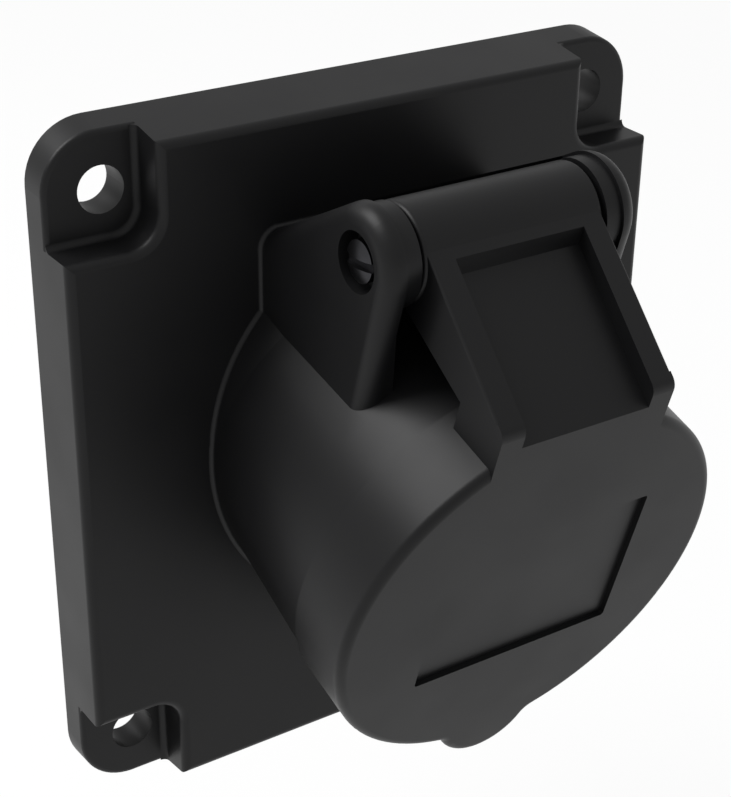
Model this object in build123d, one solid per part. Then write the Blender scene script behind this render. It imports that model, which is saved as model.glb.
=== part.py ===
"""Inclined three-pole panel socket with a sprung, hinged lid.

Millimetres, +Z up, the front faces -Y. The origin is the centre of the four fixing holes, on the
flange's back face. The barrel leans forward and down, so most of the socket is drawn in its own
frame: x across, w up and square to the barrel's axis, u outwards along the axis. u is zero where
the axis leaves the flange's raised field.
"""
import os
from math import acos, atan2, cos, pi, radians, sin, sqrt, tan

from build123d import *

# Flange
flange_width = 80.0
flange_height = 86.3
flange_corner_radius = 7.0
flange_ear_thickness = 4.3
flange_field_height = 9.4
field_wall = 2.8
field_side_inset = 0.1
field_top_inset = 1.5
field_corner_radius = 6.0
field_edge_radius = 1.0
ear_edge_radius = 0.6
pocket_width = 11.3
pocket_height = 13.1
pocket_corner_radius = 3.6
pocket_floor_radius = 0.8
foot_radius = 0.5
hole_edge_x = 6.85
hole_edge_z = 7.3
hole_radius = 2.75
hole_boss_radius = 4.2
cavity_margin_x = 14.0
cavity_margin_z = 11.8
cavity_corner_radius = 9.0
rib_thickness = 1.8

# Flange gasket
gasket_thickness = 1.5
gasket_margin = 1.5
gasket_inner_margin = 1.0
gasket_corner_radius = 5.5
gasket_hole_clearance = 0.3
gasket_edge_clearance = 0.1

# Barrel, in its own frame
tilt = 16.6
axis_height = 2.4
barrel_bore_radius = 22.2
barrel_mouth_wall = 2.5
barrel_taper = 1.35
barrel_length = 22.7
barrel_rear_depth = 18.0
seat_ring_thickness = 6.0
seat_ring_radius = 18.4
screw_end_wall = 1.0
lobe_reach = 3.7
lobe_radius = 6.2
keyway_radius = 3.5
keyway_wall = 3.0
barrel_wall_margin = 0.6
lobe_depth = 2.0

# Hinge
hinge_u = 9.95
hinge_w = 34.45
ear_radius = 6.1
ear_outer_x = 16.45
ear_plate_x = 14.1
ear_inner_x = 12.1
ear_boss_radius = 5.7
ear_outer_fillet = 2.1
ear_foot_w = 16.0
ear_foot_inner_x = 12.9
ear_waist_drop = 13.5
block_top_z = 29.0
block_front_u = 4.0
knuckle_gap = 0.8
pin_radius = 2.35
pin_press_clearance = 0.02
pin_running_clearance = 0.06
pin_overhang = 0.15
pin_dome = 0.55
pin_slot_width = 1.0
pin_slot_depth = 0.8
counterbore_radius = 3.4
counterbore_depth = 2.3

# Lid
lid_overhang = 0.5
lid_lobe_overhang = 0.35
lid_gap = 0.3
lid_front_u = 32.2
lid_edge_radius = 1.06
lid_front_wall = 2.4
lid_skirt_wall = 1.25
lid_ledge_depth = 3.0
lid_ledge_radius = 21.4
lid_ledge_lobe_radius = 3.7
lobe_blend_radius = 2.0
label_width = 27.3
label_height = 20.2
label_depth = 0.65
label_corner_radius = 0.4
label_offset = -0.15

# Neck and knuckle of the lid
neck_half_width = 11.35
knuckle_half_width = 11.7
knuckle_radius = 5.6
knuckle_end_radius = 0.55
neck_front_distance = 5.1
neck_slope = 30.0
neck_rear_setback = 1.9
neck_rear_rise = 0.9
neck_foot_radius = 1.5
neck_edge_radius = 0.35
rail_width = 2.95
recess_floor_distance = 3.05
recess_top_reach = 5.7
neck_floor_wall = 1.8
neck_side_wall = 2.4
neck_rear_wall = 2.1

# Hinge spring
spring_wire_radius = 0.45
spring_coil_radius = 3.1
spring_full_turns = 5
spring_pitch = 1.25
spring_front_leg_length = 8.3
spring_rear_leg_length = 9.2
spring_front_leg_angle = -12.3
spring_rear_leg_angle = -100.0
spring_hole_clearance = 0.1
spring_hole_depth = 1.6
spring_pocket_radius = 4.3
spring_pocket_half_width = 6.2
spring_slot_angle = 190.0
spring_rib_reach = 6.5
spring_rib_drop = 5.9
spring_rib_thickness = 1.4
spring_post_radius = 1.4
spring_post_height = 1.6

# Lid seal
seal_clearance = 0.1
seal_mouth_gap = 0.1
seal_width = 1.75
seal_lobe_width = 1.1

# Contact carrier
carrier_radius = 18.2
carrier_face_u = 19.7
carrier_wall = 2.3
face_wall = 1.5
face_chamfer = 0.8
face_spigot_length = 1.0
face_spigot_clearance = 0.1
face_post_radius = 3.4
carrier_flange_radius = 23.2
carrier_flange_thickness = 2.8
carrier_gasket_thickness = 0.8
carrier_screw_offset = 20.9
carrier_screw_radius = 1.5
carrier_screw_head_radius = 2.6
carrier_screw_head_height = 1.9
carrier_screw_tip_gap = 0.3
screw_clearance = 0.1

# Contacts
contact_circle_radius = 9.25
line_pin_radius = 2.5
earth_pin_radius = 3.5
pin_sliding_clearance = 0.05
face_hole_clearance = 0.5
sleeve_wall = 0.95
sleeve_slot_share = 0.16
sleeve_slot_length = 16.0
sleeve_bore_length = 30.0
sleeve_front_gap = 0.1
sleeve_seat_clearance = 0.1
collar_height = 0.9
collar_length = 2.0
contact_neck_radius = 3.3
clip_wire_radius = 0.4
clip_gap = 1.6
clip_setback = 4.0
clip_clearance = 0.02

# Terminals and terminal block
block_radius = 17.6
block_length = 15.2
terminal_width = 8.0
terminal_length = 11.0
terminal_inner_radius = 5.4
terminal_outer_radius = 13.9
terminal_clearance = 0.15
wire_hole_end_wall = 1.0
wire_hole_radius = 2.1
wire_funnel_radius = 2.6
terminal_screw_radius = 2.0
terminal_screw_tip_radius = 10.6
terminal_screw_head_radius = 3.2
terminal_screw_head_height = 2.0
terminal_screw_slot_width = 0.8
terminal_screw_slot_depth = 0.9
block_screw_radius = 1.5
block_screw_head_radius = 2.8
block_screw_head_height = 1.8
block_screw_length = 30.0
spigot_length = 5.0
spigot_clearance = 0.1

# How far a cutter passes a face that it opens, and how near an edge lies to a plane it is on
past = 1.0
near = 0.01

# Places that follow from the sizes above
field_y = -flange_field_height
tilt_rad = radians(tilt)
hole_pitch_x = flange_width - 2 * hole_edge_x
hole_pitch_z = flange_height - 2 * hole_edge_z
cavity_width = flange_width - 2 * cavity_margin_x
cavity_height = flange_height - 2 * cavity_margin_z
barrel_mouth_radius = barrel_bore_radius + barrel_mouth_wall
barrel_rear_radius = barrel_mouth_radius - barrel_taper
lobe_offset = barrel_mouth_radius + lobe_reach - lobe_radius
lid_radius = barrel_mouth_radius + lid_overhang
lid_lobe_radius = lobe_radius + lid_lobe_overhang
socket = Plane(
    origin=(0, field_y, axis_height),
    x_dir=(1, 0, 0),
    z_dir=(0, -cos(tilt_rad), -sin(tilt_rad)),
)
mouth_u = barrel_length
ring_rear_u = -barrel_rear_depth
ring_front_u = ring_rear_u + seat_ring_thickness
carrier_seat_u = ring_rear_u - carrier_gasket_thickness
carrier_rear_u = carrier_seat_u - carrier_flange_thickness
block_rear_u = carrier_rear_u - block_length
lid_rear_u = mouth_u + lid_gap
lid_inner_u = lid_front_u - lid_front_wall
ledge_u = lid_rear_u + lid_ledge_depth
skirt_inner_radius = lid_radius - lid_skirt_wall
skirt_lobe_radius = lid_lobe_radius - lid_skirt_wall
ear_front_u = hinge_u + ear_radius
terminal_front_u = carrier_rear_u - terminal_clearance
terminal_rear_u = terminal_front_u - terminal_length
terminal_screw_u = (terminal_front_u + terminal_rear_u) / 2
face_rear_u = carrier_face_u - face_wall
sleeve_front_u = face_rear_u - sleeve_front_gap
neck_rear_u = lid_rear_u + neck_rear_setback
neck_rear_w = lid_radius + neck_rear_rise
recess_top_u = hinge_u + recess_top_reach
spring_rib_u = hinge_u + spring_rib_reach
spring_rib_w = hinge_w - spring_rib_drop
spring_post_w = barrel_mouth_radius + spring_post_height
spigot_front_u = carrier_rear_u + spigot_length
spring_part_turn = (spring_front_leg_angle - spring_rear_leg_angle - 180) % 360
spring_turns = spring_full_turns + spring_part_turn / 360
spring_length = spring_turns * spring_pitch
MIN_Z = (Align.CENTER, Align.CENTER, Align.MIN)
contacts = {
    "line": (150, line_pin_radius),
    "neutral": (30, line_pin_radius),
    "earth": (270, earth_pin_radius),
}


def side(u, w):
    """Turn a point of the barrel's frame into (y, z)."""
    y = field_y - u * cos(tilt_rad) - w * sin(tilt_rad)
    z = axis_height - u * sin(tilt_rad) + w * cos(tilt_rad)
    return (y, z)


def rod(radius, u_from, u_to, x=0.0, w=0.0):
    """Make a round bar along the barrel's axis, in the barrel's frame."""
    return Pos(x, w, u_from) * Cylinder(radius, u_to - u_from, align=MIN_Z)


def cross_rod(radius, x_from, x_to):
    """Make a round bar along the hinge's axis, in the object's frame."""
    y, z = side(hinge_u, hinge_w)
    bar = Rot(0, 90, 0) * Cylinder(radius, x_to - x_from, align=MIN_Z)
    return Pos(x_from, y, z) * bar


def side_shape(points, half_width):
    """Extrude a side outline, given in (y, z), to both sides of the middle."""
    outline = Plane.YZ * make_face(Polyline(*points, close=True))
    return extrude(outline, amount=half_width, both=True)


def plate_prism(width, height, corner, depth_from, depth_to, x=0.0, z=0.0):
    """Make a rounded rectangular prism square to the panel; depth is towards the front."""
    outline = Plane.XZ.offset(depth_from) * Pos(x, z) * RectangleRounded(width, height, corner)
    return extrude(outline, amount=depth_to - depth_from)


def lobed_prism(radius, lobe, u_from, u_to):
    """Make a disc with the keyway's lobe below it, in the barrel's frame."""
    outline = Circle(radius) + Pos(0, -lobe_offset) * Circle(lobe)
    return Pos(0, 0, u_from) * extrude(outline, amount=u_to - u_from)


def hole_places():
    """Give the centres of the four fixing holes as (x, z) pairs."""
    half_x = hole_pitch_x / 2
    half_z = hole_pitch_z / 2
    return [(sx * half_x, sz * half_z) for sx in (-1, 1) for sz in (-1, 1)]


def flange_outline(depth):
    """Give the flange's drafted outline at a depth from its back face."""
    part = depth / flange_field_height
    corner = flange_corner_radius + part * (field_corner_radius - flange_corner_radius)
    return Plane.XZ.offset(depth) * RectangleRounded(
        flange_width - 2 * part * field_side_inset,
        flange_height - 2 * part * field_top_inset,
        corner,
    )


def edges_at_depth(shape, depth):
    """Give the edges that lie at a depth from the flange's back face."""
    return shape.edges().filter_by_position(Axis.Y, -depth - near, -depth + near)


def make_flange():
    """Make the flange: a drafted plate with thin corner ears, a raised field and a hollow back."""
    plate = loft([flange_outline(0), flange_outline(flange_field_height)])
    ear_plate = loft([flange_outline(0), flange_outline(flange_ear_thickness)])
    ear_plate = fillet(edges_at_depth(ear_plate, flange_ear_thickness), ear_edge_radius)
    for sx in (-1, 1):
        for sz in (-1, 1):
            x = sx * flange_width / 2
            z = sz * flange_height / 2
            size = (2 * pocket_width, 2 * pocket_height, pocket_corner_radius)
            pocket = plate_prism(*size, flange_ear_thickness, 2 * flange_field_height, x, z)
            pocket = fillet(edges_at_depth(pocket, flange_ear_thickness), pocket_floor_radius)
            rim_depth = flange_ear_thickness - ear_edge_radius
            rim = plate_prism(*size, rim_depth, flange_ear_thickness, x, z) - ear_plate
            plate -= pocket
            plate -= rim
    plate = fillet(edges_at_depth(plate, flange_field_height), field_edge_radius)
    plate -= plate_prism(
        cavity_width, cavity_height, cavity_corner_radius, -past, flange_field_height - field_wall
    )
    plate -= plate_prism(
        flange_width - 2 * gasket_margin,
        flange_height - 2 * gasket_margin,
        gasket_corner_radius,
        0,
        gasket_thickness,
    )
    for x, z in hole_places():
        boss = Plane.XZ * Pos(x, z) * Circle(hole_boss_radius)
        plate += extrude(boss, amount=gasket_thickness + past)
        plate -= Pos(x, 0, z) * Rot(90, 0, 0) * Cylinder(hole_radius, 4 * flange_ear_thickness)
    return plate


def make_flange_gasket():
    """Make the flat gasket that lies in the flange's back, flush with its rim."""
    margin = gasket_margin + gasket_edge_clearance
    gasket = plate_prism(
        flange_width - 2 * margin,
        flange_height - 2 * margin,
        gasket_corner_radius - gasket_edge_clearance,
        0,
        gasket_thickness,
    )
    gasket -= plate_prism(
        cavity_width + 2 * gasket_inner_margin,
        cavity_height + 2 * gasket_inner_margin,
        cavity_corner_radius + gasket_inner_margin,
        -past,
        gasket_thickness + past,
    )
    for x, z in hole_places():
        hole = Cylinder(hole_boss_radius + gasket_hole_clearance, 4 * flange_ear_thickness)
        gasket -= Pos(x, 0, z) * Rot(90, 0, 0) * hole
    return gasket


def make_hinge_block():
    """Make the hinge block: two ears on a wedge that rises from the raised field."""
    hinge_y, hinge_z = side(hinge_u, hinge_w)
    inside_y = field_y + field_wall / 2
    run = sqrt((field_y - hinge_y) ** 2 + (hinge_z - block_top_z) ** 2)
    lean = atan2(block_top_z - hinge_z, field_y - hinge_y)
    tangent = lean + acos(ear_radius / run)
    touch = (
        hinge_y + ear_radius * cos(tangent),
        hinge_z + ear_radius * sin(tangent),
    )
    rise = (touch[1] - block_top_z) / (touch[0] - field_y)
    outline = [
        (inside_y, block_top_z + rise * (inside_y - field_y)),
        touch,
        (hinge_y, hinge_z),
        side(ear_front_u, hinge_w),
        side(ear_front_u, ear_foot_w),
        (inside_y, axis_height + ear_foot_w),
    ]
    block = side_shape(outline, ear_outer_x)
    block += cross_rod(ear_radius, -ear_outer_x, ear_outer_x)
    outer_edges = []
    for x in (-ear_outer_x, ear_outer_x):
        on_face = block.edges().filter_by_position(Axis.X, x - near, x + near)
        above_foot = [edge for edge in on_face if edge.center().Z > axis_height + ear_foot_w]
        outer_edges += [edge for edge in above_foot if edge.center().Y < field_y]
    block = fillet(outer_edges, ear_outer_fillet)
    reach = 2 * ear_front_u
    pocket = [
        (-ear_foot_inner_x, ear_foot_w),
        (-ear_foot_inner_x, hinge_w - ear_waist_drop),
        (-ear_plate_x, hinge_w - ear_boss_radius),
        (-ear_plate_x, hinge_w + reach),
        (ear_plate_x, hinge_w + reach),
        (ear_plate_x, hinge_w - ear_boss_radius),
        (ear_foot_inner_x, hinge_w - ear_waist_drop),
        (ear_foot_inner_x, ear_foot_w),
    ]
    between = Pos(0, 0, block_front_u) * extrude(make_face(Polyline(*pocket, close=True)), amount=reach)
    block -= socket * between
    block -= cross_rod(knuckle_radius + knuckle_gap, -ear_plate_x, ear_plate_x)
    for sx in (-1, 1):
        ends = sorted((sx * ear_inner_x, sx * (ear_plate_x + past)))
        block += cross_rod(ear_boss_radius, *ends)
    return block


def make_barrel_solid():
    """Make the outside of the barrel and its lobe, still without bores."""
    barrel = Cone(barrel_rear_radius, barrel_mouth_radius, mouth_u, align=MIN_Z)
    barrel += rod(barrel_rear_radius, ring_rear_u, 0)
    barrel += rod(lobe_radius, lobe_depth, mouth_u, 0, -lobe_offset)
    return socket * barrel


def spring_leg_point(leg, distance):
    """Give the point on a spring leg's middle line at a distance from the coil."""
    end, spot_angle, leg_angle = leg
    rise = atan2(spring_pitch, 2 * pi * spring_coil_radius)
    spot = radians(spot_angle)
    way = radians(leg_angle)
    flat = distance * cos(rise)
    u = hinge_u + spring_coil_radius * cos(spot) + flat * cos(way)
    w = hinge_w + spring_coil_radius * sin(spot) + flat * sin(way)
    return (end * (spring_length / 2 + distance * sin(rise)), *side(u, w))


def spring_leg_hole(leg, length):
    """Make the blind hole that holds a spring leg's end."""
    mouth = Vector(spring_leg_point(leg, length - spring_hole_depth))
    bottom = Vector(spring_leg_point(leg, length + spring_hole_clearance))
    line = Plane(origin=mouth, z_dir=bottom - mouth)
    radius = spring_wire_radius + spring_hole_clearance
    return line * Cylinder(radius, (bottom - mouth).length, align=MIN_Z)


front_leg = (-1, spring_front_leg_angle - 90, spring_front_leg_angle)
rear_leg = (1, spring_rear_leg_angle + 90, spring_rear_leg_angle)


def make_spring_post():
    """Make the low post on the barrel that holds the spring's rear leg."""
    tip_x, tip_y, tip_z = spring_leg_point(rear_leg, spring_rear_leg_length)
    tip_u = -(tip_y - field_y) * cos(tilt_rad) - (tip_z - axis_height) * sin(tilt_rad)
    foot_w = barrel_bore_radius + barrel_wall_margin
    foot = Plane(origin=(tip_x, *side(tip_u, foot_w)), z_dir=(0, -sin(tilt_rad), cos(tilt_rad)))
    return foot * Cylinder(spring_post_radius, spring_post_w - foot_w, align=MIN_Z)


def make_housing():
    """Make the housing: flange, barrel and hinge block in one moulding."""
    housing = make_flange()
    cavity_depth = flange_field_height - field_wall
    for x_size, z_size in ((cavity_width, rib_thickness), (rib_thickness, cavity_height)):
        rib = Box(x_size, cavity_depth - gasket_thickness, z_size)
        housing += Pos(0, -(cavity_depth + gasket_thickness) / 2, axis_height) * rib
    housing += make_hinge_block()
    housing += make_barrel_solid()
    inside_x = flange_width / 2 - pocket_width
    inside_z = flange_height / 2 - pocket_height
    foot = [
        edge
        for edge in edges_at_depth(housing, flange_field_height)
        if abs(edge.center().X) < inside_x and abs(edge.center().Z) < inside_z
    ]
    housing = fillet(foot, foot_radius)
    housing += make_spring_post()
    bores = rod(barrel_bore_radius, ring_front_u, mouth_u + past)
    bores += rod(seat_ring_radius, ring_rear_u - past, ring_front_u + past)
    bores += rod(keyway_radius, lobe_depth + keyway_wall, mouth_u + past, 0, -lobe_offset)
    for sx in (-1, 1):
        x = sx * carrier_screw_offset
        bores += rod(carrier_screw_radius, ring_rear_u - past, ring_front_u - screw_end_wall, x)
    housing -= socket * bores
    housing -= spring_leg_hole(rear_leg, spring_rear_leg_length)
    hinge_hole = pin_radius + pin_press_clearance
    housing -= cross_rod(hinge_hole, -ear_outer_x - past, ear_outer_x + past)
    for sx in (-1, 1):
        ends = sorted((sx * (ear_outer_x - counterbore_depth), sx * (ear_outer_x + past)))
        housing -= cross_rod(counterbore_radius, *ends)
    return housing


def neck_line(distance, u):
    """Give w on the neck's slanted line at a distance from the hinge's axis."""
    slope = radians(neck_slope)
    return hinge_w + distance / cos(slope) - (u - hinge_u) * tan(slope)


def neck_corner(sx, crease, neck_foot):
    """Make the cutter that rounds one long edge of the neck's slanted front."""
    start = Vector(sx * neck_half_width, *crease)
    run = Vector(sx * neck_half_width, *neck_foot) - start
    line = Plane(origin=start + run / 2, x_dir=(sx, 0, 0), z_dir=run * sx)
    round_part = Pos(-neck_edge_radius, -neck_edge_radius) * Circle(neck_edge_radius)
    corner = Rectangle(2 * neck_edge_radius, 2 * neck_edge_radius) - round_part
    return line * extrude(corner, amount=run.length / 2 - neck_foot_radius, both=True)


def make_lid():
    """Make the lid: a lobed cap, its slanted neck and the hinge knuckle in one moulding."""
    outline = Circle(lid_radius) + Pos(0, -lobe_offset) * Circle(lid_lobe_radius)
    cap = Pos(0, 0, lid_rear_u) * extrude(outline, amount=lid_front_u - lid_rear_u)
    upright = [e for e in cap.edges().filter_by(Axis.Z) if e.center().Y < -lobe_offset / 2]
    corners = [e for e in upright if lid_lobe_radius / 2 < abs(e.center().X) < 2 * lid_lobe_radius]
    cap = fillet(corners, lobe_blend_radius)
    cap = fillet(cap.faces().sort_by(Axis.Z)[-1].outer_wire().edges(), lid_edge_radius)
    lid = socket * cap

    slope = radians(neck_slope)
    crease_half = sqrt(knuckle_radius ** 2 - neck_front_distance ** 2)
    crease = side(
        hinge_u + neck_front_distance * sin(slope) - crease_half * cos(slope),
        hinge_w + neck_front_distance * cos(slope) + crease_half * sin(slope),
    )
    neck_foot = side(lid_front_u, neck_line(neck_front_distance, lid_front_u))
    neck = side_shape(
        [
            side(hinge_u, hinge_w),
            crease,
            neck_foot,
            side(lid_front_u, lid_radius / 2),
            side(neck_rear_u, lid_radius / 2),
            side(neck_rear_u, neck_rear_w),
            side(hinge_u + knuckle_radius / 2, hinge_w - knuckle_radius * cos(slope)),
        ],
        neck_half_width,
    )
    foot_edges = neck.edges().filter_by(Axis.X).sort_by_distance((0, *neck_foot))
    neck = fillet(foot_edges[0], neck_foot_radius)
    for sx in (-1, 1):
        neck -= neck_corner(sx, crease, neck_foot)
    lid += neck
    knuckle = cross_rod(knuckle_radius, -knuckle_half_width, knuckle_half_width)
    lid += fillet(knuckle.edges().filter_by(GeomType.CIRCLE), knuckle_end_radius)

    floor_top = neck_line(recess_floor_distance, recess_top_u)
    floor_end_u = lid_front_u + past
    cut_w = hinge_w + 2 * knuckle_radius
    lid -= side_shape(
        [
            side(recess_top_u, floor_top),
            side(recess_top_u, cut_w),
            side(floor_end_u, cut_w),
            side(floor_end_u, neck_line(recess_floor_distance, floor_end_u)),
        ],
        neck_half_width - rail_width,
    )

    hollow = lobed_prism(skirt_inner_radius, skirt_lobe_radius, lid_rear_u - past, ledge_u)
    hollow += lobed_prism(lid_ledge_radius, lid_ledge_lobe_radius, ledge_u - past, lid_inner_u)
    label = RectangleRounded(label_width, label_height, label_corner_radius)
    label_cut = extrude(label, amount=label_depth + past)
    hollow += Pos(0, label_offset, lid_front_u - label_depth) * label_cut
    lid -= socket * hollow

    core_distance = recess_floor_distance - neck_floor_wall
    core_rear_u = neck_rear_u - neck_rear_wall
    core_top = side(recess_top_u, neck_line(core_distance, recess_top_u))
    core_end = [
        side(core_rear_u, neck_line(core_distance, core_rear_u)),
        side(core_rear_u, lid_radius / 2),
    ]
    core = [core_top] + core_end + [side(recess_top_u, lid_radius / 2)]
    lid -= side_shape(core, neck_half_width - neck_side_wall)
    opening = radians(spring_slot_angle)
    slot_reach = 2 * knuckle_radius
    slot = [
        side(hinge_u, hinge_w),
        core_top,
        *core_end,
        side(hinge_u - slot_reach, lid_radius / 2),
        side(hinge_u + slot_reach * cos(opening), hinge_w + slot_reach * sin(opening)),
    ]
    lid -= side_shape(slot, spring_pocket_half_width)
    lid -= cross_rod(spring_pocket_radius, -spring_pocket_half_width, spring_pocket_half_width)
    rib_end_u = spring_rib_u + spring_rib_thickness
    rib = [
        side(spring_rib_u, neck_line(core_distance, spring_rib_u)),
        side(rib_end_u, neck_line(core_distance, rib_end_u)),
        side(rib_end_u, spring_rib_w),
        side(spring_rib_u, spring_rib_w),
    ]
    lid += side_shape(rib, neck_half_width - neck_side_wall)
    lid -= spring_leg_hole(front_leg, spring_front_leg_length)
    bore = pin_radius + pin_running_clearance
    lid -= cross_rod(bore, -knuckle_half_width - past, knuckle_half_width + past)
    return lid


def make_lid_seal():
    """Make the rubber ring that lies against the ledge inside the lid's skirt."""
    outer = skirt_inner_radius - seal_clearance
    outer_lobe = skirt_lobe_radius - seal_clearance
    seal = lobed_prism(outer, outer_lobe, mouth_u + seal_mouth_gap, ledge_u)
    room = (outer - seal_width, outer_lobe - seal_lobe_width)
    inner = lobed_prism(*room, mouth_u - past, ledge_u + past)
    return socket * (seal - inner)


def make_hinge_pin():
    """Make the hinge pin: a plain shank with domed ends, one of them slotted for a driver."""
    half = ear_outer_x + pin_overhang
    shoulder = half - pin_dome
    ball = (pin_radius ** 2 + pin_dome ** 2) / (2 * pin_dome)
    halfway = (half - ball + sqrt(ball ** 2 - pin_radius ** 2 / 4), pin_radius / 2)
    left_dome = ThreePointArc((-half, 0), (-halfway[0], halfway[1]), (-shoulder, pin_radius))
    right_dome = ThreePointArc((shoulder, pin_radius), halfway, (half, 0))
    shank = Line((-shoulder, pin_radius), (shoulder, pin_radius))
    middle = Line((half, 0), (-half, 0))
    y, z = side(hinge_u, hinge_w)
    pin = Pos(0, y, z) * revolve(make_face([left_dome, shank, right_dome, middle]), Axis.X)
    slot = Box(2 * pin_slot_depth, 3 * pin_radius, pin_slot_width)
    pin -= Pos(-half, y, z) * slot
    return pin


def make_hinge_spring():
    """Make the torsion spring round the pin, one leg on the barrel's post and one in the neck."""
    first = radians(spring_front_leg_angle - 90)
    middle = Vector(0, *side(0, 0))
    spot = Vector(0, *side(cos(first), sin(first)))
    turn_plane = Plane(
        origin=(-spring_length / 2, *side(hinge_u, hinge_w)),
        x_dir=spot - middle,
        z_dir=(1, 0, 0),
    )
    coil = turn_plane * Helix(spring_pitch, spring_length, spring_coil_radius)
    front_end = spring_leg_point(front_leg, spring_front_leg_length)
    rear_end = spring_leg_point(rear_leg, spring_rear_leg_length)
    wire = Line(front_end, coil @ 0) + coil + Line(coil @ 1, rear_end)
    section = Plane(origin=wire @ 0, z_dir=wire % 0) * Circle(spring_wire_radius)
    return sweep(section, path=wire)


def make_carrier_gasket():
    """Make the flat ring between the housing's seat and the carrier's flange."""
    gasket = rod(carrier_flange_radius, carrier_seat_u, ring_rear_u)
    gasket -= rod(seat_ring_radius, carrier_seat_u - past, ring_rear_u + past)
    for sx in (-1, 1):
        x = sx * carrier_screw_offset
        hole = carrier_screw_radius + screw_clearance
        gasket -= rod(hole, carrier_seat_u - past, ring_rear_u + past, x)
    return socket * gasket


def contact_place(angle):
    """Give the place of a contact round the carrier's middle."""
    x = contact_circle_radius * cos(radians(angle))
    w = contact_circle_radius * sin(radians(angle))
    return x, w


def sleeve_outer(pin_size):
    """Give the outer radius of the sleeve for a plug pin."""
    return pin_size + pin_sliding_clearance + sleeve_wall


def make_carrier():
    """Make the contact carrier: an open sleeve on a round flange."""
    carrier = rod(carrier_radius, carrier_rear_u, face_rear_u)
    carrier += rod(carrier_flange_radius, carrier_rear_u, carrier_seat_u)
    carrier -= rod(carrier_radius - carrier_wall, carrier_rear_u - past, carrier_face_u)
    for sx in (-1, 1):
        x = sx * carrier_screw_offset
        hole = carrier_screw_radius + screw_clearance
        carrier -= rod(hole, carrier_rear_u - past, carrier_seat_u + past, x)
    return socket * carrier


def make_contact_face():
    """Make the face with its three pin holes, and the post that the block's screw pulls on."""
    face = rod(carrier_radius, face_rear_u, carrier_face_u)
    face = chamfer(face.faces().sort_by(Axis.Z)[-1].edges(), face_chamfer)
    spigot_radius = carrier_radius - carrier_wall - face_spigot_clearance
    face += rod(spigot_radius, face_rear_u - face_spigot_length, face_rear_u)
    face += rod(face_post_radius, spigot_front_u, face_rear_u)
    for angle, pin_size in contacts.values():
        x, w = contact_place(angle)
        seat = sleeve_outer(pin_size) + sleeve_seat_clearance
        face -= rod(pin_size + face_hole_clearance, face_rear_u, carrier_face_u + past, x, w)
        face -= rod(seat, face_rear_u - 2 * face_spigot_length, face_rear_u, x, w)
    screw_tip = block_rear_u + block_screw_length
    face -= rod(block_screw_radius, spigot_front_u - past, screw_tip)
    return socket * face


def turned(angle, shape):
    """Place a shape drawn along +x of a contact's own direction, turned round the axis."""
    return Rot(0, 0, angle) * shape


def terminal_box(clearance, u_from, u_to, r_from, r_to):
    """Make a box along a contact's radial direction, before it is turned."""
    width = terminal_width + 2 * clearance
    box = Box(r_to - r_from, width, u_to - u_from, align=(Align.MIN, Align.CENTER, Align.MIN))
    return Pos(r_from, 0, u_from) * box


def radial_rod(radius, r_from, r_to):
    """Make a round bar along a contact's radial direction at the terminal screw."""
    bar = Rot(0, 90, 0) * Cylinder(radius, r_to - r_from, align=MIN_Z)
    return Pos(r_from, 0, terminal_screw_u) * bar


def make_terminal_block():
    """Make the terminal block: a round moulding with a chamber for each terminal."""
    block = rod(block_radius, block_rear_u, carrier_rear_u)
    block += rod(carrier_radius - carrier_wall - spigot_clearance, block_rear_u, spigot_front_u)
    rear = terminal_rear_u - terminal_clearance
    inner = terminal_inner_radius - terminal_clearance
    cut_rear_u = block_rear_u - past
    for angle, pin_size in contacts.values():
        hole = sleeve_outer(pin_size) + sleeve_seat_clearance
        room = rod(hole, carrier_rear_u - past, spigot_front_u + past, contact_circle_radius)
        room += terminal_box(terminal_clearance, rear, carrier_rear_u, inner, block_radius + past)
        room += rod(wire_funnel_radius, cut_rear_u, rear + past, contact_circle_radius)
        block -= turned(angle, room)
    head_u = block_rear_u + block_screw_head_height
    block -= rod(block_screw_radius + screw_clearance, cut_rear_u, spigot_front_u + past)
    block -= rod(block_screw_head_radius + screw_clearance, cut_rear_u, head_u)
    return socket * block


def make_contact(angle, pin_size):
    """Make one contact: a slotted sleeve, its collar and the square terminal, in one piece."""
    front = sleeve_front_u
    outer = sleeve_outer(pin_size)
    collar_end = spigot_front_u + collar_length
    contact = rod(outer, carrier_rear_u, front, contact_circle_radius)
    contact += rod(outer + collar_height, spigot_front_u, collar_end, contact_circle_radius)
    contact += rod(contact_neck_radius, terminal_front_u - past, collar_end, contact_circle_radius)
    ends = (terminal_inner_radius, terminal_outer_radius)
    contact += terminal_box(0, terminal_rear_u, terminal_front_u, *ends)
    bore = pin_size + pin_sliding_clearance
    contact -= rod(bore, front - sleeve_bore_length, front + past, contact_circle_radius)
    slot_width = 2 * pin_size * sleeve_slot_share
    for turn in (45, 135):
        slot = Box(3 * outer, slot_width, sleeve_slot_length, align=MIN_Z)
        contact -= Pos(contact_circle_radius, 0, front - sleeve_slot_length) * Rot(0, 0, turn) * slot
    wire_end_u = terminal_front_u - wire_hole_end_wall
    contact -= rod(wire_hole_radius, terminal_rear_u - past, wire_end_u, contact_circle_radius)
    contact -= radial_rod(terminal_screw_radius, contact_circle_radius, terminal_outer_radius + past)
    return socket * turned(angle, contact)


def make_sleeve_clip(angle, pin_size):
    """Make the open spring ring that squeezes a contact's slotted sleeve."""
    ring_radius = sleeve_outer(pin_size) + clip_clearance + clip_wire_radius
    place = sleeve_front_u - clip_setback
    clip = Torus(ring_radius, clip_wire_radius)
    clip -= Pos(ring_radius, 0, 0) * Box(4 * clip_wire_radius, clip_gap, 4 * clip_wire_radius)
    return socket * turned(angle, Pos(contact_circle_radius, 0, place) * clip)


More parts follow.
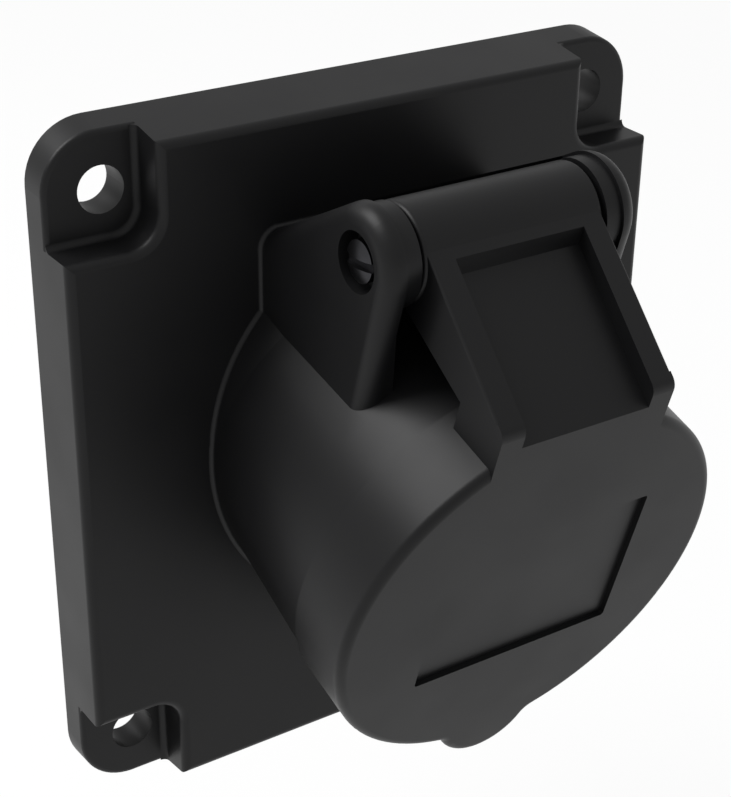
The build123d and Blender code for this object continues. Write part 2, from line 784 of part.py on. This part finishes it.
def make_terminal_screw(angle):
    """Make the slotted screw that clamps a wire in its terminal."""
    head_top = terminal_outer_radius + terminal_screw_head_height
    shank_radius = terminal_screw_radius - clip_clearance
    screw = radial_rod(shank_radius, terminal_screw_tip_radius, terminal_outer_radius)
    screw += radial_rod(terminal_screw_head_radius, terminal_outer_radius, head_top)
    slot = Box(2 * terminal_screw_slot_depth, 3 * terminal_screw_head_radius, terminal_screw_slot_width)
    screw -= Pos(head_top, 0, terminal_screw_u) * slot
    return socket * turned(angle, screw)


def make_axial_screw(radius, head_radius, head_height, head_u, length, x=0.0):
    """Make a screw along the barrel's axis, its head towards the rear and cross-slotted."""
    screw = rod(head_radius, head_u - head_height, head_u, x)
    screw += rod(radius, head_u, head_u + length, x)
    for turn in (0, 90):
        slot = Rot(0, 0, turn) * Box(head_radius, head_radius / 4, head_height)
        screw -= Pos(x, 0, head_u - head_height) * slot
    return socket * screw


pieces = {
    "housing": make_housing(),
    "flange_gasket": make_flange_gasket(),
    "lid": make_lid(),
    "lid_seal": make_lid_seal(),
    "hinge_pin": make_hinge_pin(),
    "hinge_spring": make_hinge_spring(),
    "contact_carrier": make_carrier(),
    "contact_face": make_contact_face(),
    "carrier_gasket": make_carrier_gasket(),
    "terminal_block": make_terminal_block(),
    "block_screw": make_axial_screw(
        block_screw_radius,
        block_screw_head_radius,
        block_screw_head_height,
        block_rear_u + block_screw_head_height,
        block_screw_length - block_screw_head_height,
    ),
}
for name, sx in (("left", -1), ("right", 1)):
    pieces[name + "_carrier_screw"] = make_axial_screw(
        carrier_screw_radius,
        carrier_screw_head_radius,
        carrier_screw_head_height,
        carrier_rear_u,
        ring_front_u - screw_end_wall - carrier_screw_tip_gap - carrier_rear_u,
        sx * carrier_screw_offset,
    )
for name, (angle, pin_size) in contacts.items():
    pieces[name + "_contact"] = make_contact(angle, pin_size)
    pieces[name + "_sleeve_clip"] = make_sleeve_clip(angle, pin_size)
    pieces[name + "_terminal_screw"] = make_terminal_screw(angle)

os.makedirs("parts", exist_ok=True)
for name, shape in pieces.items():
    export_step(shape, "parts/" + name + ".step")
    print(name, round(shape.volume, 1), len(shape.solids()))
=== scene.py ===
"""Dresses the inclined panel socket: camera, moulded plastics, rubber, metals, floor and light."""
import math

import bpy
import numpy as np
from mathutils import Matrix, Vector


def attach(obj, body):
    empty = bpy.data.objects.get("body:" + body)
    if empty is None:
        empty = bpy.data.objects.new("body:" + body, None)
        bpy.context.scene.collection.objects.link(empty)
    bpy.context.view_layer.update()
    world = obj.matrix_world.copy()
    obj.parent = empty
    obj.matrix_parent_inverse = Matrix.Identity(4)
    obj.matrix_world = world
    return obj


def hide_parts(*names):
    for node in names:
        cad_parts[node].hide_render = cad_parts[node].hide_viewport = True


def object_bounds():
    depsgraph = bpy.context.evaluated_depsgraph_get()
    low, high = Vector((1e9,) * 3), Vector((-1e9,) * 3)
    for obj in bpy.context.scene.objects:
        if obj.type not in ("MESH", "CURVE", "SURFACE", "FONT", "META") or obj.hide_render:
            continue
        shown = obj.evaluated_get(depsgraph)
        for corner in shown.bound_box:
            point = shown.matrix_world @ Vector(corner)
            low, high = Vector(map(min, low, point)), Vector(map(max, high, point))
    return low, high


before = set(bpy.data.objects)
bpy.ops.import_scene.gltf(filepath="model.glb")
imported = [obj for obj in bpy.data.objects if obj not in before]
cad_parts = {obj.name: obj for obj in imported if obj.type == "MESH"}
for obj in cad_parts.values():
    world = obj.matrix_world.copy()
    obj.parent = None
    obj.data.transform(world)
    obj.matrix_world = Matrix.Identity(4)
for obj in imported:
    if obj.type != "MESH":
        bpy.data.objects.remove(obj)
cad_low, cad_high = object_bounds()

# The camera stands to the socket's left, in front of it and above. Its place comes from fitting
# the flange, the four holes and the sleeve to the picture; millimetres from the holes' centre.
mm_per_m = 1000
image_width = 731
image_height = 797
camera_yaw = math.radians(-33.511)
camera_pitch = math.radians(27.458)
camera_roll = math.radians(0.769)
camera_place_mm = (-109.54, -171.51, 105.59)
focal_px = 1807.7
centre_px = (365.61, 397.41)
sensor_mm = 36.0
near_limit_mm = 10

across = Vector((math.cos(camera_yaw), math.sin(camera_yaw), 0))
backwards = Vector((
    math.sin(camera_yaw) * math.cos(camera_pitch),
    -math.cos(camera_yaw) * math.cos(camera_pitch),
    math.sin(camera_pitch),
))
upwards = backwards.cross(across)
rolled_across = math.cos(camera_roll) * across + math.sin(camera_roll) * upwards
rolled_up = math.cos(camera_roll) * upwards - math.sin(camera_roll) * across
camera_data = bpy.data.cameras.new("camera")
camera_data.sensor_fit = "VERTICAL"
camera_data.sensor_height = sensor_mm
camera_data.sensor_width = sensor_mm
camera_data.lens = focal_px * sensor_mm / image_height
camera_data.shift_x = (image_width / 2 - centre_px[0]) / image_height
camera_data.shift_y = (centre_px[1] - image_height / 2) / image_height
camera_data.clip_start = near_limit_mm / mm_per_m
camera = bpy.data.objects.new("camera", camera_data)
camera.matrix_world = Matrix.Translation(Vector(camera_place_mm) / mm_per_m) @ Matrix((
    (rolled_across.x, rolled_up.x, backwards.x),
    (rolled_across.y, rolled_up.y, backwards.y),
    (rolled_across.z, rolled_up.z, backwards.z),
)).to_4x4()
bpy.context.scene.collection.objects.link(camera)
bpy.context.scene.camera = camera

# The housing and the lid are injection moulded in black glass-filled polyamide. The mould was
# spark eroded, so a fine even grain, drawn at its real size, spreads each highlight softly, and
# slow flow marks show where the melt ran.
grain_mm = 0.16
grain_strength = 0.35
flow_mm = 14.0
flow_drift = (-0.03, 0.04)
polyamide_ior = 1.53
polyamide_shine = 0.22
patch_low, patch_high = 0.3, 0.7
# A colour mix goes by numbers: its share, its first and second colour, and its result.
mix_share, mix_first, mix_second, mix_result = 0, 6, 7, 2


def srgb(hex_value):
    """Turn an sRGB hex colour into linear red, green, blue and alpha."""
    channels = [int(hex_value[i:i + 2], 16) / 255 for i in (1, 3, 5)]
    linear = [c / 12.92 if c <= 0.04045 else ((c + 0.055) / 1.055) ** 2.4 for c in channels]
    return (*linear, 1)


def new_material(name):
    """Make an empty node material, and give it with its node tree and its shader."""
    material = bpy.data.materials.new(name)
    material.use_nodes = True
    tree = material.node_tree
    return material, tree, tree.nodes["Principled BSDF"]


def add_node(tree, kind, settings=None, inputs=None, links=None):
    """Add a node, set its properties and its inputs, and link inputs to other nodes' outputs."""
    node = tree.nodes.new(kind)
    for key, value in (settings or {}).items():
        setattr(node, key, value)
    for key, value in (inputs or {}).items():
        node.inputs[key].default_value = value
    for key, source in (links or {}).items():
        tree.links.new(source, node.inputs[key])
    return node


def patchy_material(name, colours, roughness, drift, patches, marks, strength, height_mm):
    """Make a material from two noises. The patch noise mixes the two colours by its own value, and
    its middle stretch carries the roughness from the drift's low end to its high end. The mark
    noise times the marks' height is the relief."""
    material, tree, shader = new_material(name)
    place = add_node(tree, "ShaderNodeTexCoord").outputs["Object"]
    mark = add_node(tree, "ShaderNodeTexNoise", inputs=marks, links={"Vector": place})
    patch = add_node(tree, "ShaderNodeTexNoise", inputs=patches, links={"Vector": place})
    tint = add_node(tree, "ShaderNodeMix", {"data_type": "RGBA"},
                    inputs={mix_first: srgb(colours[0]), mix_second: srgb(colours[1])},
                    links={mix_share: patch.outputs["Fac"]})
    gloss = add_node(tree, "ShaderNodeMapRange",
                     inputs={"From Min": patch_low, "From Max": patch_high,
                             "To Min": roughness + drift[0], "To Max": roughness + drift[1]},
                     links={"Value": patch.outputs["Fac"]})
    relief = add_node(tree, "ShaderNodeBump",
                      inputs={"Strength": strength, "Distance": height_mm / mm_per_m},
                      links={"Height": mark.outputs["Fac"]})
    tree.links.new(tint.outputs[mix_result], shader.inputs["Base Color"])
    tree.links.new(gloss.outputs["Result"], shader.inputs["Roughness"])
    tree.links.new(relief.outputs["Normal"], shader.inputs["Normal"])
    return material, shader


def moulded_plastic(name, colour, flow_colour, roughness, grain_height_mm):
    """Make a moulded plastic: a fine grain as relief, and flow marks in its colour and gloss."""
    material, shader = patchy_material(
        name, (colour, flow_colour), roughness, flow_drift,
        patches={"Scale": mm_per_m / flow_mm, "Detail": 3.0},
        marks={"Scale": mm_per_m / grain_mm, "Detail": 2.0, "Roughness": 0.55},
        strength=grain_strength, height_mm=grain_height_mm,
    )
    shader.inputs["IOR"].default_value = polyamide_ior
    shader.inputs["Specular IOR Level"].default_value = polyamide_shine
    return material


def dress(names, material):
    """Give CAD nodes one material in their only slot."""
    for name in names:
        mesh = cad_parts[name].data
        mesh.materials.clear()
        mesh.materials.append(material)


black_polyamide = moulded_plastic("black_polyamide", "#0f0f10", "#131314",
                                  roughness=0.42, grain_height_mm=0.012)
dress(["housing", "lid"], black_polyamide)

# The contact carrier, the contact face and the terminal block are moulded in a heat-proof
# polyamide from a plainer tool, so they look greyer and duller than the housing.
heat_proof_polyamide = moulded_plastic("heat_proof_polyamide", "#17181a", "#1c1d1f",
                                       roughness=0.5, grain_height_mm=0.010)
dress(["contact_carrier", "contact_face", "terminal_block"], heat_proof_polyamide)

# The gaskets and the lid's seal are black nitrile rubber, cut from sheet or moulded. A matt bloom
# lies on the skin in soft low patches, so they hardly shine.
bloom_mm = 3.0
bloom_strength = 0.4
bloom_height_mm = 0.02
rubber, rubber_tree, rubber_shader = new_material("nitrile_rubber")
rubber_place = add_node(rubber_tree, "ShaderNodeTexCoord").outputs["Object"]
bloom = add_node(rubber_tree, "ShaderNodeTexNoise",
                 inputs={"Scale": mm_per_m / bloom_mm, "Detail": 5.0}, links={"Vector": rubber_place})
bloom_tint = add_node(rubber_tree, "ShaderNodeMix", {"data_type": "RGBA"},
                      inputs={mix_first: srgb("#161616"), mix_second: srgb("#232322")},
                      links={mix_share: bloom.outputs["Fac"]})
bloom_relief = add_node(rubber_tree, "ShaderNodeBump",
                        inputs={"Strength": bloom_strength, "Distance": bloom_height_mm / mm_per_m},
                        links={"Height": bloom.outputs["Fac"]})
rubber_tree.links.new(bloom_tint.outputs[mix_result], rubber_shader.inputs["Base Color"])
rubber_tree.links.new(bloom_relief.outputs["Normal"], rubber_shader.inputs["Normal"])
rubber_shader.inputs["Roughness"].default_value = 0.78
rubber_shader.inputs["IOR"].default_value = 1.52
dress(["flange_gasket", "lid_seal", "carrier_gasket"], rubber)

# The hinge pin is blackened steel with a dark shine, the clips are bright spring steel wire and the
# contacts turned brass. All were cut or drawn, so fine marks break up their shine; real marks are
# near 0.1 mm, and they are drawn coarser here so that they show.
dull_patch_mm = 6.0
dull_drift = (-0.06, 0.08)
mark_strength = 0.3
poles = ("line", "neutral", "earth")


def turned_metal(name, colour, dull_colour, roughness, mark_mm, mark_height_mm):
    """Make a metal: fine tool marks as relief, and slow dull patches in its colour and gloss."""
    material, shader = patchy_material(
        name, (colour, dull_colour), roughness, dull_drift,
        patches={"Scale": mm_per_m / dull_patch_mm, "Detail": 4.0},
        marks={"Scale": mm_per_m / mark_mm, "Detail": 3.0},
        strength=mark_strength, height_mm=mark_height_mm,
    )
    shader.inputs["Metallic"].default_value = 1.0
    return material


blackened_steel = turned_metal("blackened_steel", "#4a4a4c", "#37373a",
                               roughness=0.3, mark_mm=0.4, mark_height_mm=0.006)
dress(["hinge_pin"], blackened_steel)
spring_wire = turned_metal("spring_steel_wire", "#8d8f90", "#77787a",
                           roughness=0.3, mark_mm=0.3, mark_height_mm=0.004)
dress([pole + "_sleeve_clip" for pole in poles], spring_wire)
brass = turned_metal("turned_brass", "#c9a96b", "#b08d52",
                     roughness=0.28, mark_mm=0.35, mark_height_mm=0.005)
dress([pole + "_contact" for pole in poles], brass)

# The barrel leans down from the flange. Its own directions are x across, u outwards along its
# axis and w up and square to it; u is zero where the axis leaves the flange's raised field.
tilt = math.radians(16.6)
field_front_mm = 9.4
axis_height_mm = 2.4
outwards = np.array([0, -math.cos(tilt), -math.sin(tilt)])
upright = np.array([0, -math.sin(tilt), math.cos(tilt)])
sideways = np.array([1.0, 0, 0])


def in_barrel(x, u, w):
    """Turn the barrel's x, u and w into the object's x, y and z: start at the place where the axis
    leaves the field, then go x across, u outwards and w upright. All in millimetres."""
    start = np.array([0, -field_front_mm, axis_height_mm])
    x, u, w = (np.asarray(value, float)[..., None] for value in (x, u, w))
    return start + x * sideways + u * outwards + w * upright


# The lid's spring is cold-wound from bright hard steel wire of 0.9 mm. One leg stands in a post on
# the barrel and the other in the lid's neck, so that one turns with the lid and winds the coil.
wire_radius_mm = 0.45
wire_sides = 18
coil_radius_mm = 3.1
coil_pitch_mm = 1.25
hinge_u_mm = 9.95
hinge_w_mm = 34.45
front_spot_deg = -102.3
rear_spot_deg = -10.0
whole_turns = 5
coil_turns = whole_turns + (front_spot_deg - rear_spot_deg) % 360 / 360
coil_length_mm = coil_turns * coil_pitch_mm
coil_steps = 300
front_leg_mm = 8.3
front_leg_steps = 12
rear_leg_mm = 9.2
rear_leg_start_mm = 0.3
rear_leg_steps = 24
rear_bow_mm = 0.7
lid_travel_deg = 105
crease_deg = 32


def new_piece(name, points_mm, faces, material, body, node):
    """Make a piece from points in millimetres and lists of faces, and put it in a node's place."""
    mesh = bpy.data.meshes.new(name)
    mesh.from_pydata((np.reshape(points_mm, (-1, 3)) / mm_per_m).tolist(), [], faces)
    mesh.polygons.foreach_set("use_smooth", [True] * len(mesh.polygons))
    mesh.set_sharp_from_angle(angle=math.radians(crease_deg))
    mesh.materials.append(material)
    piece = bpy.data.objects.new(name, mesh)
    bpy.context.scene.collection.objects.link(piece)
    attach(piece, body)
    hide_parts(node)
    return piece


def skin(rings, sides):
    """Give the faces of a closed tube of rings: a four-sided face between each two neighbours on
    two neighbouring rings, and one flat face over each end."""
    ring, spot = (part.ravel() for part in np.mgrid[0:rings - 1, 0:sides])
    turned = (spot + 1) % sides
    walls = np.stack([ring * sides + spot, ring * sides + turned,
                      (ring + 1) * sides + turned, (ring + 1) * sides + spot], -1)
    last = (rings - 1) * sides
    return walls.tolist() + [list(range(sides))[::-1], list(range(last, last + sides))]


def coil_places(angles_deg):
    """Give the coil's middle line: a point goes round the hinge's axis at the coil's radius while
    it moves across by one pitch for each turn, from the lid's leg at the left to the post's leg."""
    angle = np.radians(angles_deg)
    return in_barrel(
        -coil_length_mm / 2 + coil_pitch_mm * (front_spot_deg - np.asarray(angles_deg)) / 360,
        hinge_u_mm + coil_radius_mm * np.cos(angle),
        hinge_w_mm + coil_radius_mm * np.sin(angle),
    )


def leg_places(end, spot_deg, leg_deg, distances):
    """Give a leg's middle line: straight on from the coil's end, still gaining the coil's rise."""
    rise = math.atan2(coil_pitch_mm, 2 * math.pi * coil_radius_mm)
    spot, way = math.radians(spot_deg), math.radians(leg_deg)
    flat = distances * math.cos(rise)
    return in_barrel(
        end * (coil_length_mm / 2 + distances * math.sin(rise)),
        hinge_u_mm + coil_radius_mm * math.cos(spot) + flat * math.cos(way),
        hinge_w_mm + coil_radius_mm * math.sin(spot) + flat * math.sin(way),
    )


def wire(name, line, body):
    """Sweep the wire's round section along a line: each ring stands square to the line, with one of
    its two radii as near to the hinge's axis as it can be."""
    along = np.gradient(line, axis=0)
    along /= np.linalg.norm(along, axis=1)[:, None]
    across_wire = sideways - along * along[:, :1]
    across_wire /= np.linalg.norm(across_wire, axis=1)[:, None]
    third = np.cross(along, across_wire)
    around = np.linspace(0, 2 * np.pi, wire_sides, endpoint=False)[None, :, None]
    section = np.cos(around) * across_wire[:, None] + np.sin(around) * third[:, None]
    rings = line[:, None] + wire_radius_mm * section
    faces = skin(len(line), wire_sides)
    return new_piece(name, rings, faces, spring_wire, body, "hinge_spring")


# The coil runs on past the lid's leg by the lid's travel, so that this leg stands on it at every
# angle. The leg in the post bows outwards by a sine squared of the way along it, to clear the
# edge of the knuckle's slot when the lid is open.
coil = coil_places(np.linspace(front_spot_deg + lid_travel_deg, front_spot_deg - 360 * coil_turns,
                               coil_steps))
rear_spots = np.linspace(rear_leg_start_mm, rear_leg_mm, rear_leg_steps)
rear_leg = leg_places(1, rear_spot_deg, rear_spot_deg - 90, rear_spots)
rear_leg += rear_bow_mm * np.sin(np.pi * rear_spots[:, None] / rear_leg_mm) ** 2 * outwards
wire("spring_coil", np.concatenate([coil, rear_leg]), "socket")
front_spots = np.linspace(0, front_leg_mm, front_leg_steps)
front_leg = leg_places(-1, front_spot_deg, front_spot_deg + 90, front_spots)
wire("spring_front_leg", front_leg, "lid")

# The six screws are cold-headed steel, plated with zinc, which is pale and softly bright. Each is
# turned here round its own axis: a head with a rounded rim and a shallow dome, and a shank with a
# thread rolled into it. Their places, lengths and radii are those of the solids they stand for.
screw_sides = 36
rim_round_mm = 0.45
rim_steps = 7
dome_mm = 0.25
steps_per_thread = 8
tip_zone_mm = 0.1
head_overhang_mm = 0.3
mostly_sideways = 0.7
punch_lift_mm = 0.5
through_reach = 3
cross_reach = 0.55
straight_slot = (0,)
cross_slots = (0, math.pi / 2)
zinc_plate = turned_metal("zinc_plated_steel", "#b9bbbb", "#9fa19f",
                          roughness=0.3, mark_mm=0.5, mark_height_mm=0.006)


def measure_screw(name, axis):
    """Find a screw's place from its solid: the middle of its reach in the two directions across the
    axis, the head's top, the seat and the tip along it, and the two radii. The shank's radius is
    the widest at the tip, and the seat is the first place that is clearly wider. Millimetres."""
    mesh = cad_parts[name].data
    points = np.empty(len(mesh.vertices) * 3)
    mesh.vertices.foreach_get("co", points)
    points = points.reshape(-1, 3) * mm_per_m
    first = np.cross(axis, sideways if abs(axis[0]) < mostly_sideways else upright)
    first /= np.linalg.norm(first)
    second = np.cross(axis, first)
    reach = points @ np.stack([axis, first, second], -1)
    middle = (reach.max(0) + reach.min(0)) / 2
    radius = np.hypot(reach[:, 1] - middle[1], reach[:, 2] - middle[2])
    top, tip = reach[:, 0].max(), reach[:, 0].min()
    shank_radius = radius[reach[:, 0] < tip + tip_zone_mm].max()
    seat = reach[radius > shank_radius + head_overhang_mm, 0].min()
    place = middle[1] * first + middle[2] * second
    return place, first, second, top, seat, tip, radius.max(), shank_radius


def head_outline(top, seat, head_radius, shank_radius):
    """Give the head's places along the axis and its radii: a small flat top, a slope down to a
    quarter circle that is the rim, the side down to the seat, and in to the shank."""
    corner = np.linspace(0, np.pi / 2, rim_steps)
    inner = head_radius - rim_round_mm
    along = [[top], top - rim_round_mm - dome_mm + rim_round_mm * np.cos(corner), [seat, seat]]
    out = [[inner / 2], inner + rim_round_mm * np.sin(corner), [head_radius, shank_radius]]
    return np.concatenate(along), np.concatenate(out)


def shank_outline(seat, tip, shank_radius, thread_mm, thread_depth_mm):
    """Give the shank's places along the axis, several for each thread, and its radii: straight from
    the seat, then in by the thread's depth over twice that depth, as a chamfer at the tip."""
    steps = max(2, int((seat - tip) / thread_mm * steps_per_thread))
    along = np.linspace(seat, tip, steps + 1)[1:]
    chamfer = np.clip((along - tip) / (2 * thread_depth_mm), 0, 1)
    return along, shank_radius - thread_depth_mm * (1 - chamfer)


def cut_slot(piece, corners_mm):
    """Take the box between eight corners out of a screw's head, as the heading punch does."""
    box_faces = [(0, 1, 3, 2), (4, 6, 7, 5), (0, 4, 5, 1), (2, 3, 7, 6), (0, 2, 6, 4), (1, 5, 7, 3)]
    punch_mesh = bpy.data.meshes.new("punch")
    punch_mesh.from_pydata((corners_mm / mm_per_m).tolist(), [], box_faces)
    punch = bpy.data.objects.new("punch", punch_mesh)
    bpy.context.scene.collection.objects.link(punch)
    cut = piece.modifiers.new("slot", "BOOLEAN")
    cut.operation = "DIFFERENCE"
    cut.solver = "EXACT"
    cut.object = punch
    whole = piece.data
    depsgraph = bpy.context.evaluated_depsgraph_get()
    carved = bpy.data.meshes.new_from_object(piece.evaluated_get(depsgraph))
    piece.modifiers.clear()
    piece.data = carved
    bpy.data.objects.remove(punch)
    bpy.data.meshes.remove(punch_mesh)
    bpy.data.meshes.remove(whole)


def screw(name, axis, thread_mm, thread_depth_mm, slots, slot_width_mm, slot_depth_mm):
    """Turn a screw: rings follow its outline from the dome to the tip. On the shank the radius dips
    by the thread's depth in a smooth wave that goes round once for each thread along the axis. Each
    slot is a box that lies across the head, from its depth up to a little above the top."""
    place, first, second, top, seat, tip, head_radius, shank_radius = measure_screw(name, axis)
    head = head_outline(top, seat, head_radius, shank_radius)
    shank = shank_outline(seat, tip, shank_radius, thread_mm, thread_depth_mm)
    along, out = np.concatenate([head, shank], axis=1)[..., None]
    around = np.linspace(0, 2 * np.pi, screw_sides, endpoint=False)[None, :]
    wave = 0.5 - 0.5 * np.cos(2 * np.pi * along / thread_mm - around)
    threaded = (along < seat - thread_mm) & (along > tip + thread_mm / 2)
    radius = out - thread_depth_mm * wave * threaded
    rings = (place + along[..., None] * axis + (radius * np.cos(around))[..., None] * first
             + (radius * np.sin(around))[..., None] * second)
    faces = skin(len(along), screw_sides)
    piece = new_piece(name + "_turned", rings, faces, zinc_plate, "socket", name)
    reach = (through_reach if len(slots) == 1 else cross_reach) * head_radius
    signs = np.array([(i, j, k) for i in (-1, 1) for j in (-1, 1) for k in (-1, 1)])
    for turn in slots:
        lead = math.cos(turn) * first + math.sin(turn) * second
        side_way = np.cross(axis, lead)
        corners = (place + (top - slot_depth_mm / 2 + punch_lift_mm) * axis
                   + signs[:, :1] * (slot_depth_mm / 2 + punch_lift_mm) * axis
                   + signs[:, 1:2] * reach * lead + signs[:, 2:] * slot_width_mm / 2 * side_way)
        cut_slot(piece, corners)


for screw_name in ("block_screw", "left_carrier_screw", "right_carrier_screw"):
    screw(screw_name, -outwards, thread_mm=0.5, thread_depth_mm=0.22,
          slots=cross_slots, slot_width_mm=0.75, slot_depth_mm=1.1)
for pole, pole_deg in zip(poles, (150, 30, 270)):
    pole_way = math.radians(pole_deg)
    radial = math.cos(pole_way) * sideways + math.sin(pole_way) * upright
    screw(pole + "_terminal_screw", radial, thread_mm=0.7, thread_depth_mm=0.3,
          slots=straight_slot, slot_width_mm=0.8, slot_depth_mm=0.9)

# The floor is a wide white sheet below the flange. The camera and mirror-like rays see mostly its
# own even white; a small share of what they see is lit, and keeps the socket's soft shadow.
floor_gap_mm = 45.0
floor_half_mm = 6000.0
shadow_share = 0.14
floor_mesh = bpy.data.meshes.new("floor")
floor_z = cad_low[2] - floor_gap_mm / mm_per_m
floor_corners = np.array([(-1, -1), (1, -1), (1, 1), (-1, 1)]) * floor_half_mm / mm_per_m
floor_mesh.from_pydata([(x, y, floor_z) for x, y in floor_corners], [], [(0, 1, 2, 3)])
floor = bpy.data.objects.new("floor", floor_mesh)
bpy.context.scene.collection.objects.link(floor)
paper, paper_tree, paper_shader = new_material("white_paper")
paper_shader.inputs["Base Color"].default_value = srgb("#f4f4f4")
paper_shader.inputs["Roughness"].default_value = 0.9
paper_shader.inputs["Specular IOR Level"].default_value = 0.2
path = add_node(paper_tree, "ShaderNodeLightPath")
mirror_rays = add_node(paper_tree, "ShaderNodeMath", {"operation": "MAXIMUM"},
                       links={0: path.outputs["Is Glossy Ray"], 1: path.outputs["Is Transmission Ray"]})
seen = add_node(paper_tree, "ShaderNodeMath", {"operation": "MAXIMUM"},
                links={0: path.outputs["Is Camera Ray"], 1: mirror_rays.outputs[0]})
share = add_node(paper_tree, "ShaderNodeMath", {"operation": "MULTIPLY"},
                 inputs={1: 1 - shadow_share}, links={0: seen.outputs[0]})
glow = add_node(paper_tree, "ShaderNodeEmission", inputs={"Color": (1, 1, 1, 1), "Strength": 1.0})
sheet = add_node(paper_tree, "ShaderNodeMixShader",
                 links={0: share.outputs[0], 1: paper_shader.outputs[0], 2: glow.outputs[0]})
paper_tree.links.new(sheet.outputs[0], paper_tree.nodes["Material Output"].inputs["Surface"])
floor_mesh.materials.append(paper)

# The room is an even pale light from all sides, as in a tent of thin white cloth.
tent_level = 0.65
world = bpy.data.worlds.new("studio")
world.use_nodes = True
bpy.context.scene.world = world
tent = world.node_tree.nodes["Background"]
tent.inputs["Color"].default_value = (1, 1, 1, 1)
tent.inputs["Strength"].default_value = tent_level
bpy.context.scene.view_settings.view_transform = "Standard"

# One soft box hangs high behind the socket's left and draws the light along the barrel's top.
lit_middle_mm = (0, -20, 0)
key_way = (-0.49, 0.35, 0.79)
key_distance_mm = 600
key_side_mm = 350
key_watts = 2.8
key_light = bpy.data.lights.new("key_box", "AREA")
key_light.shape = "SQUARE"
key_light.size = key_side_mm / mm_per_m
key_light.energy = key_watts
key_box = bpy.data.objects.new("key_box", key_light)
away = Vector(key_way).normalized()
key_box.location = Vector(lit_middle_mm) / mm_per_m + key_distance_mm / mm_per_m * away
key_box.rotation_euler = away.to_track_quat("Z", "Y").to_euler()
bpy.context.scene.collection.objects.link(key_box)
